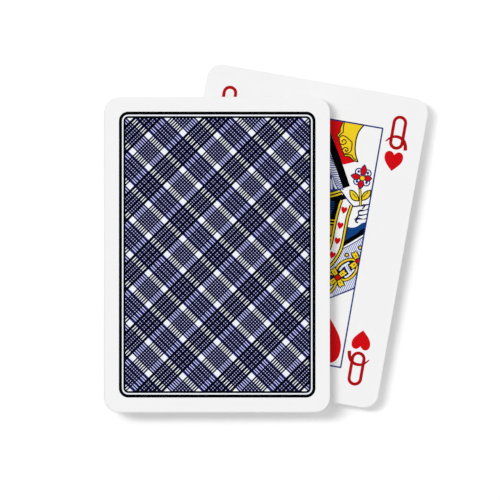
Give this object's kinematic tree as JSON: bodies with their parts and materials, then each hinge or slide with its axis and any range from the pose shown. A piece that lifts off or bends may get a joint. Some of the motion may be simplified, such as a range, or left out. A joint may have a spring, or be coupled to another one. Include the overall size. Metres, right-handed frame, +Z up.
{
  "type": "playing card deck",
  "caption": "Pack of poker-size playing cards, squared up face down with a diagonal plaid back, and a queen drawn out face up; the cards fan about a corner and slide off each other.",
  "frame": {"origin": "middle of the bottom card's lower face, on the table", "axes": "+Z up out of the pack, +Y to the top edge of the squared cards, +X to the side where the queen is drawn"},
  "size_m": [0.0917, 0.0985, 0.0162],
  "materials": {
    "card_stock": "satin"
  },
  "bodies": {
    "black_joker": {"black_joker": "card_stock"},
    "red_joker": {"red_joker": "card_stock"},
    "king_of_spades": {"king_of_spades": "card_stock"},
    "queen_of_spades": {"queen_of_spades": "card_stock"},
    "jack_of_spades": {"jack_of_spades": "card_stock"},
    "ten_of_spades": {"ten_of_spades": "card_stock"},
    "nine_of_spades": {"nine_of_spades": "card_stock"},
    "eight_of_spades": {"eight_of_spades": "card_stock"},
    "seven_of_spades": {"seven_of_spades": "card_stock"},
    "six_of_spades": {"six_of_spades": "card_stock"},
    "five_of_spades": {"five_of_spades": "card_stock"},
    "four_of_spades": {"four_of_spades": "card_stock"},
    "three_of_spades": {"three_of_spades": "card_stock"},
    "two_of_spades": {"two_of_spades": "card_stock"},
    "ace_of_spades": {"ace_of_spades": "card_stock"},
    "king_of_diamonds": {"king_of_diamonds": "card_stock"},
    "queen_of_diamonds": {"queen_of_diamonds": "card_stock"},
    "jack_of_diamonds": {"jack_of_diamonds": "card_stock"},
    "ten_of_diamonds": {"ten_of_diamonds": "card_stock"},
    "nine_of_diamonds": {"nine_of_diamonds": "card_stock"},
    "eight_of_diamonds": {"eight_of_diamonds": "card_stock"},
    "seven_of_diamonds": {"seven_of_diamonds": "card_stock"},
    "six_of_diamonds": {"six_of_diamonds": "card_stock"},
    "five_of_diamonds": {"five_of_diamonds": "card_stock"},
    "four_of_diamonds": {"four_of_diamonds": "card_stock"},
    "three_of_diamonds": {"three_of_diamonds": "card_stock"},
    "two_of_diamonds": {"two_of_diamonds": "card_stock"},
    "ace_of_diamonds": {"ace_of_diamonds": "card_stock"},
    "king_of_hearts": {"king_of_hearts": "card_stock"},
    "queen_of_hearts": {"queen_of_hearts": "card_stock"},
    "jack_of_hearts": {"jack_of_hearts": "card_stock"},
    "ten_of_hearts": {"ten_of_hearts": "card_stock"},
    "nine_of_hearts": {"nine_of_hearts": "card_stock"},
    "eight_of_hearts": {"eight_of_hearts": "card_stock"},
    "seven_of_hearts": {"seven_of_hearts": "card_stock"},
    "six_of_hearts": {"six_of_hearts": "card_stock"},
    "five_of_hearts": {"five_of_hearts": "card_stock"},
    "four_of_hearts": {"four_of_hearts": "card_stock"},
    "three_of_hearts": {"three_of_hearts": "card_stock"},
    "two_of_hearts": {"two_of_hearts": "card_stock"},
    "ace_of_hearts": {"ace_of_hearts": "card_stock"},
    "king_of_clubs": {"king_of_clubs": "card_stock"},
    "queen_of_clubs": {"queen_of_clubs": "card_stock"},
    "jack_of_clubs": {"jack_of_clubs": "card_stock"},
    "ten_of_clubs": {"ten_of_clubs": "card_stock"},
    "nine_of_clubs": {"nine_of_clubs": "card_stock"},
    "eight_of_clubs": {"eight_of_clubs": "card_stock"},
    "seven_of_clubs": {"seven_of_clubs": "card_stock"},
    "six_of_clubs": {"six_of_clubs": "card_stock"},
    "five_of_clubs": {"five_of_clubs": "card_stock"},
    "four_of_clubs": {"four_of_clubs": "card_stock"},
    "three_of_clubs": {"three_of_clubs": "card_stock"},
    "two_of_clubs": {"two_of_clubs": "card_stock"},
    "ace_of_clubs": {"ace_of_clubs": "card_stock"}
  },
  "joints": [
    {"name": "fan_red_joker", "type": "hinge", "parent": "black_joker", "child": "red_joker", "pos_m": [-0.02755, -0.04025, 0.00044], "axis": [0, 0, -1], "range_deg": [0, 2.31]},
    {"name": "fan_king_of_spades", "type": "hinge", "parent": "black_joker", "child": "king_of_spades", "pos_m": [-0.02755, -0.04025, 0.00075], "axis": [0, 0, -1], "range_deg": [0, 4.62]},
    {"name": "fan_queen_of_spades", "type": "hinge", "parent": "black_joker", "child": "queen_of_spades", "pos_m": [-0.02755, -0.04025, 0.00104], "axis": [0, 0, -1], "range_deg": [0, 6.92]},
    {"name": "fan_jack_of_spades", "type": "hinge", "parent": "black_joker", "child": "jack_of_spades", "pos_m": [-0.02755, -0.04025, 0.00135], "axis": [0, 0, -1], "range_deg": [0, 9.23]},
    {"name": "fan_ten_of_spades", "type": "hinge", "parent": "black_joker", "child": "ten_of_spades", "pos_m": [-0.02755, -0.04025, 0.00164], "axis": [0, 0, -1], "range_deg": [0, 11.54]},
    {"name": "fan_nine_of_spades", "type": "hinge", "parent": "black_joker", "child": "nine_of_spades", "pos_m": [-0.02755, -0.04025, 0.00194], "axis": [0, 0, -1], "range_deg": [0, 13.85]},
    {"name": "fan_eight_of_spades", "type": "hinge", "parent": "black_joker", "child": "eight_of_spades", "pos_m": [-0.02755, -0.04025, 0.00225], "axis": [0, 0, -1], "range_deg": [0, 16.16]},
    {"name": "fan_seven_of_spades", "type": "hinge", "parent": "black_joker", "child": "seven_of_spades", "pos_m": [-0.02755, -0.04025, 0.00254], "axis": [0, 0, -1], "range_deg": [0, 18.46]},
    {"name": "fan_six_of_spades", "type": "hinge", "parent": "black_joker", "child": "six_of_spades", "pos_m": [-0.02755, -0.04025, 0.00284], "axis": [0, 0, -1], "range_deg": [0, 20.77]},
    {"name": "fan_five_of_spades", "type": "hinge", "parent": "black_joker", "child": "five_of_spades", "pos_m": [-0.02755, -0.04025, 0.00314], "axis": [0, 0, -1], "range_deg": [0, 23.08]},
    {"name": "fan_four_of_spades", "type": "hinge", "parent": "black_joker", "child": "four_of_spades", "pos_m": [-0.02755, -0.04025, 0.00345], "axis": [0, 0, -1], "range_deg": [0, 25.39]},
    {"name": "fan_three_of_spades", "type": "hinge", "parent": "black_joker", "child": "three_of_spades", "pos_m": [-0.02755, -0.04025, 0.00375], "axis": [0, 0, -1], "range_deg": [0, 27.69]},
    {"name": "fan_two_of_spades", "type": "hinge", "parent": "black_joker", "child": "two_of_spades", "pos_m": [-0.02755, -0.04025, 0.00404], "axis": [0, 0, -1], "range_deg": [0, 30]},
    {"name": "fan_ace_of_spades", "type": "hinge", "parent": "black_joker", "child": "ace_of_spades", "pos_m": [-0.02755, -0.04025, 0.00434], "axis": [0, 0, -1], "range_deg": [0, 32.31]},
    {"name": "fan_king_of_diamonds", "type": "hinge", "parent": "black_joker", "child": "king_of_diamonds", "pos_m": [-0.02755, -0.04025, 0.00464], "axis": [0, 0, -1], "range_deg": [0, 34.62]},
    {"name": "fan_queen_of_diamonds", "type": "hinge", "parent": "black_joker", "child": "queen_of_diamonds", "pos_m": [-0.02755, -0.04025, 0.00494], "axis": [0, 0, -1], "range_deg": [0, 36.92]},
    {"name": "fan_jack_of_diamonds", "type": "hinge", "parent": "black_joker", "child": "jack_of_diamonds", "pos_m": [-0.02755, -0.04025, 0.00524], "axis": [0, 0, -1], "range_deg": [0, 39.23]},
    {"name": "fan_ten_of_diamonds", "type": "hinge", "parent": "black_joker", "child": "ten_of_diamonds", "pos_m": [-0.02755, -0.04025, 0.00554], "axis": [0, 0, -1], "range_deg": [0, 41.54]},
    {"name": "fan_nine_of_diamonds", "type": "hinge", "parent": "black_joker", "child": "nine_of_diamonds", "pos_m": [-0.02755, -0.04025, 0.00585], "axis": [0, 0, -1], "range_deg": [0, 43.85]},
    {"name": "fan_eight_of_diamonds", "type": "hinge", "parent": "black_joker", "child": "eight_of_diamonds", "pos_m": [-0.02755, -0.04025, 0.00615], "axis": [0, 0, -1], "range_deg": [0, 46.16]},
    {"name": "fan_seven_of_diamonds", "type": "hinge", "parent": "black_joker", "child": "seven_of_diamonds", "pos_m": [-0.02755, -0.04025, 0.00645], "axis": [0, 0, -1], "range_deg": [0, 48.46]},
    {"name": "fan_six_of_diamonds", "type": "hinge", "parent": "black_joker", "child": "six_of_diamonds", "pos_m": [-0.02755, -0.04025, 0.00675], "axis": [0, 0, -1], "range_deg": [0, 50.77]},
    {"name": "fan_five_of_diamonds", "type": "hinge", "parent": "black_joker", "child": "five_of_diamonds", "pos_m": [-0.02755, -0.04025, 0.00705], "axis": [0, 0, -1], "range_deg": [0, 53.08]},
    {"name": "fan_four_of_diamonds", "type": "hinge", "parent": "black_joker", "child": "four_of_diamonds", "pos_m": [-0.02755, -0.04025, 0.00734], "axis": [0, 0, -1], "range_deg": [0, 55.39]},
    {"name": "fan_three_of_diamonds", "type": "hinge", "parent": "black_joker", "child": "three_of_diamonds", "pos_m": [-0.02755, -0.04025, 0.00764], "axis": [0, 0, -1], "range_deg": [0, 57.69]},
    {"name": "fan_two_of_diamonds", "type": "hinge", "parent": "black_joker", "child": "two_of_diamonds", "pos_m": [-0.02755, -0.04025, 0.00795], "axis": [0, 0, -1], "range_deg": [0, 60]},
    {"name": "fan_ace_of_diamonds", "type": "hinge", "parent": "black_joker", "child": "ace_of_diamonds", "pos_m": [-0.02755, -0.04025, 0.00825], "axis": [0, 0, -1], "range_deg": [0, 62.31]},
    {"name": "fan_king_of_hearts", "type": "hinge", "parent": "black_joker", "child": "king_of_hearts", "pos_m": [-0.02755, -0.04025, 0.00855], "axis": [0, 0, -1], "range_deg": [0, 64.62]},
    {"name": "fan_jack_of_hearts", "type": "hinge", "parent": "black_joker", "child": "jack_of_hearts", "pos_m": [-0.02755, -0.04025, 0.00915], "axis": [0, 0, -1], "range_deg": [0, 69.23]},
    {"name": "fan_ten_of_hearts", "type": "hinge", "parent": "black_joker", "child": "ten_of_hearts", "pos_m": [-0.02755, -0.04025, 0.00945], "axis": [0, 0, -1], "range_deg": [0, 71.54]},
    {"name": "fan_nine_of_hearts", "type": "hinge", "parent": "black_joker", "child": "nine_of_hearts", "pos_m": [-0.02755, -0.04025, 0.00975], "axis": [0, 0, -1], "range_deg": [0, 73.85]},
    {"name": "fan_eight_of_hearts", "type": "hinge", "parent": "black_joker", "child": "eight_of_hearts", "pos_m": [-0.02755, -0.04025, 0.01005], "axis": [0, 0, -1], "range_deg": [0, 76.16]},
    {"name": "fan_seven_of_hearts", "type": "hinge", "parent": "black_joker", "child": "seven_of_hearts", "pos_m": [-0.02755, -0.04025, 0.01035], "axis": [0, 0, -1], "range_deg": [0, 78.46]},
    {"name": "fan_six_of_hearts", "type": "hinge", "parent": "black_joker", "child": "six_of_hearts", "pos_m": [-0.02755, -0.04025, 0.01064], "axis": [0, 0, -1], "range_deg": [0, 80.77]},
    {"name": "fan_five_of_hearts", "type": "hinge", "parent": "black_joker", "child": "five_of_hearts", "pos_m": [-0.02755, -0.04025, 0.01094], "axis": [0, 0, -1], "range_deg": [0, 83.08]},
    {"name": "fan_four_of_hearts", "type": "hinge", "parent": "black_joker", "child": "four_of_hearts", "pos_m": [-0.02755, -0.04025, 0.01124], "axis": [0, 0, -1], "range_deg": [0, 85.39]},
    {"name": "fan_three_of_hearts", "type": "hinge", "parent": "black_joker", "child": "three_of_hearts", "pos_m": [-0.02755, -0.04025, 0.01154], "axis": [0, 0, -1], "range_deg": [0, 87.69]},
    {"name": "fan_two_of_hearts", "type": "hinge", "parent": "black_joker", "child": "two_of_hearts", "pos_m": [-0.02755, -0.04025, 0.01184], "axis": [0, 0, -1], "range_deg": [0, 90]},
    {"name": "fan_ace_of_hearts", "type": "hinge", "parent": "black_joker", "child": "ace_of_hearts", "pos_m": [-0.02755, -0.04025, 0.01214], "axis": [0, 0, -1], "range_deg": [0, 92.31]},
    {"name": "fan_king_of_clubs", "type": "hinge", "parent": "black_joker", "child": "king_of_clubs", "pos_m": [-0.02755, -0.04025, 0.01244], "axis": [0, 0, -1], "range_deg": [0, 94.62]},
    {"name": "fan_queen_of_clubs", "type": "hinge", "parent": "black_joker", "child": "queen_of_clubs", "pos_m": [-0.02755, -0.04025, 0.01274], "axis": [0, 0, -1], "range_deg": [0, 96.92]},
    {"name": "fan_jack_of_clubs", "type": "hinge", "parent": "black_joker", "child": "jack_of_clubs", "pos_m": [-0.02755, -0.04025, 0.01304], "axis": [0, 0, -1], "range_deg": [0, 99.23]},
    {"name": "fan_ten_of_clubs", "type": "hinge", "parent": "black_joker", "child": "ten_of_clubs", "pos_m": [-0.02755, -0.04025, 0.01334], "axis": [0, 0, -1], "range_deg": [0, 101.54]},
    {"name": "fan_nine_of_clubs", "type": "hinge", "parent": "black_joker", "child": "nine_of_clubs", "pos_m": [-0.02755, -0.04025, 0.01364], "axis": [0, 0, -1], "range_deg": [0, 103.85]},
    {"name": "fan_eight_of_clubs", "type": "hinge", "parent": "black_joker", "child": "eight_of_clubs", "pos_m": [-0.02755, -0.04025, 0.01395], "axis": [0, 0, -1], "range_deg": [0, 106.16]},
    {"name": "fan_seven_of_clubs", "type": "hinge", "parent": "black_joker", "child": "seven_of_clubs", "pos_m": [-0.02755, -0.04025, 0.01425], "axis": [0, 0, -1], "range_deg": [0, 108.46]},
    {"name": "fan_six_of_clubs", "type": "hinge", "parent": "black_joker", "child": "six_of_clubs", "pos_m": [-0.02755, -0.04025, 0.01455], "axis": [0, 0, -1], "range_deg": [0, 110.77]},
    {"name": "fan_five_of_clubs", "type": "hinge", "parent": "black_joker", "child": "five_of_clubs", "pos_m": [-0.02755, -0.04025, 0.01485], "axis": [0, 0, -1], "range_deg": [0, 113.08]},
    {"name": "fan_four_of_clubs", "type": "hinge", "parent": "black_joker", "child": "four_of_clubs", "pos_m": [-0.02755, -0.04025, 0.01515], "axis": [0, 0, -1], "range_deg": [0, 115.39]},
    {"name": "fan_three_of_clubs", "type": "hinge", "parent": "black_joker", "child": "three_of_clubs", "pos_m": [-0.02755, -0.04025, 0.01545], "axis": [0, 0, -1], "range_deg": [0, 117.69]},
    {"name": "fan", "type": "hinge", "parent": "black_joker", "child": "two_of_clubs", "pos_m": [-0.02755, -0.04025, 0.01574], "axis": [0, 0, -1], "range_deg": [0, 120]},
    {"name": "draw", "type": "slide", "parent": "king_of_hearts", "child": "queen_of_hearts", "axis": [0.9848, -0.1736, 0], "range_m": [-0.0215, 0.009]},
    {"name": "deal", "type": "slide", "parent": "two_of_clubs", "child": "ace_of_clubs", "axis": [-1, 0, 0], "range_m": [0, 0.028]}
  ],
  "couplings": [
    {"joint": "fan_red_joker", "follows": "fan", "ratio": 0.019231},
    {"joint": "fan_king_of_spades", "follows": "fan", "ratio": 0.038462},
    {"joint": "fan_queen_of_spades", "follows": "fan", "ratio": 0.057692},
    {"joint": "fan_jack_of_spades", "follows": "fan", "ratio": 0.076923},
    {"joint": "fan_ten_of_spades", "follows": "fan", "ratio": 0.096154},
    {"joint": "fan_nine_of_spades", "follows": "fan", "ratio": 0.11539},
    {"joint": "fan_eight_of_spades", "follows": "fan", "ratio": 0.13462},
    {"joint": "fan_seven_of_spades", "follows": "fan", "ratio": 0.15385},
    {"joint": "fan_six_of_spades", "follows": "fan", "ratio": 0.17308},
    {"joint": "fan_five_of_spades", "follows": "fan", "ratio": 0.19231},
    {"joint": "fan_four_of_spades", "follows": "fan", "ratio": 0.21154},
    {"joint": "fan_three_of_spades", "follows": "fan", "ratio": 0.23077},
    {"joint": "fan_two_of_spades", "follows": "fan", "ratio": 0.25},
    {"joint": "fan_ace_of_spades", "follows": "fan", "ratio": 0.26923},
    {"joint": "fan_king_of_diamonds", "follows": "fan", "ratio": 0.28846},
    {"joint": "fan_queen_of_diamonds", "follows": "fan", "ratio": 0.30769},
    {"joint": "fan_jack_of_diamonds", "follows": "fan", "ratio": 0.32692},
    {"joint": "fan_ten_of_diamonds", "follows": "fan", "ratio": 0.34615},
    {"joint": "fan_nine_of_diamonds", "follows": "fan", "ratio": 0.36539},
    {"joint": "fan_eight_of_diamonds", "follows": "fan", "ratio": 0.38461},
    {"joint": "fan_seven_of_diamonds", "follows": "fan", "ratio": 0.40385},
    {"joint": "fan_six_of_diamonds", "follows": "fan", "ratio": 0.42308},
    {"joint": "fan_five_of_diamonds", "follows": "fan", "ratio": 0.44231},
    {"joint": "fan_four_of_diamonds", "follows": "fan", "ratio": 0.46154},
    {"joint": "fan_three_of_diamonds", "follows": "fan", "ratio": 0.48077},
    {"joint": "fan_two_of_diamonds", "follows": "fan", "ratio": 0.5},
    {"joint": "fan_ace_of_diamonds", "follows": "fan", "ratio": 0.51923},
    {"joint": "fan_king_of_hearts", "follows": "fan", "ratio": 0.53846},
    {"joint": "fan_jack_of_hearts", "follows": "fan", "ratio": 0.57692},
    {"joint": "fan_ten_of_hearts", "follows": "fan", "ratio": 0.59615},
    {"joint": "fan_nine_of_hearts", "follows": "fan", "ratio": 0.61538},
    {"joint": "fan_eight_of_hearts", "follows": "fan", "ratio": 0.63462},
    {"joint": "fan_seven_of_hearts", "follows": "fan", "ratio": 0.65385},
    {"joint": "fan_six_of_hearts", "follows": "fan", "ratio": 0.67308},
    {"joint": "fan_five_of_hearts", "follows": "fan", "ratio": 0.69231},
    {"joint": "fan_four_of_hearts", "follows": "fan", "ratio": 0.71154},
    {"joint": "fan_three_of_hearts", "follows": "fan", "ratio": 0.73077},
    {"joint": "fan_two_of_hearts", "follows": "fan", "ratio": 0.75},
    {"joint": "fan_ace_of_hearts", "follows": "fan", "ratio": 0.76923},
    {"joint": "fan_king_of_clubs", "follows": "fan", "ratio": 0.78846},
    {"joint": "fan_queen_of_clubs", "follows": "fan", "ratio": 0.80769},
    {"joint": "fan_jack_of_clubs", "follows": "fan", "ratio": 0.82692},
    {"joint": "fan_ten_of_clubs", "follows": "fan", "ratio": 0.84615},
    {"joint": "fan_nine_of_clubs", "follows": "fan", "ratio": 0.86538},
    {"joint": "fan_eight_of_clubs", "follows": "fan", "ratio": 0.88462},
    {"joint": "fan_seven_of_clubs", "follows": "fan", "ratio": 0.90385},
    {"joint": "fan_six_of_clubs", "follows": "fan", "ratio": 0.92308},
    {"joint": "fan_five_of_clubs", "follows": "fan", "ratio": 0.94231},
    {"joint": "fan_four_of_clubs", "follows": "fan", "ratio": 0.96154},
    {"joint": "fan_three_of_clubs", "follows": "fan", "ratio": 0.98077}
  ]
}
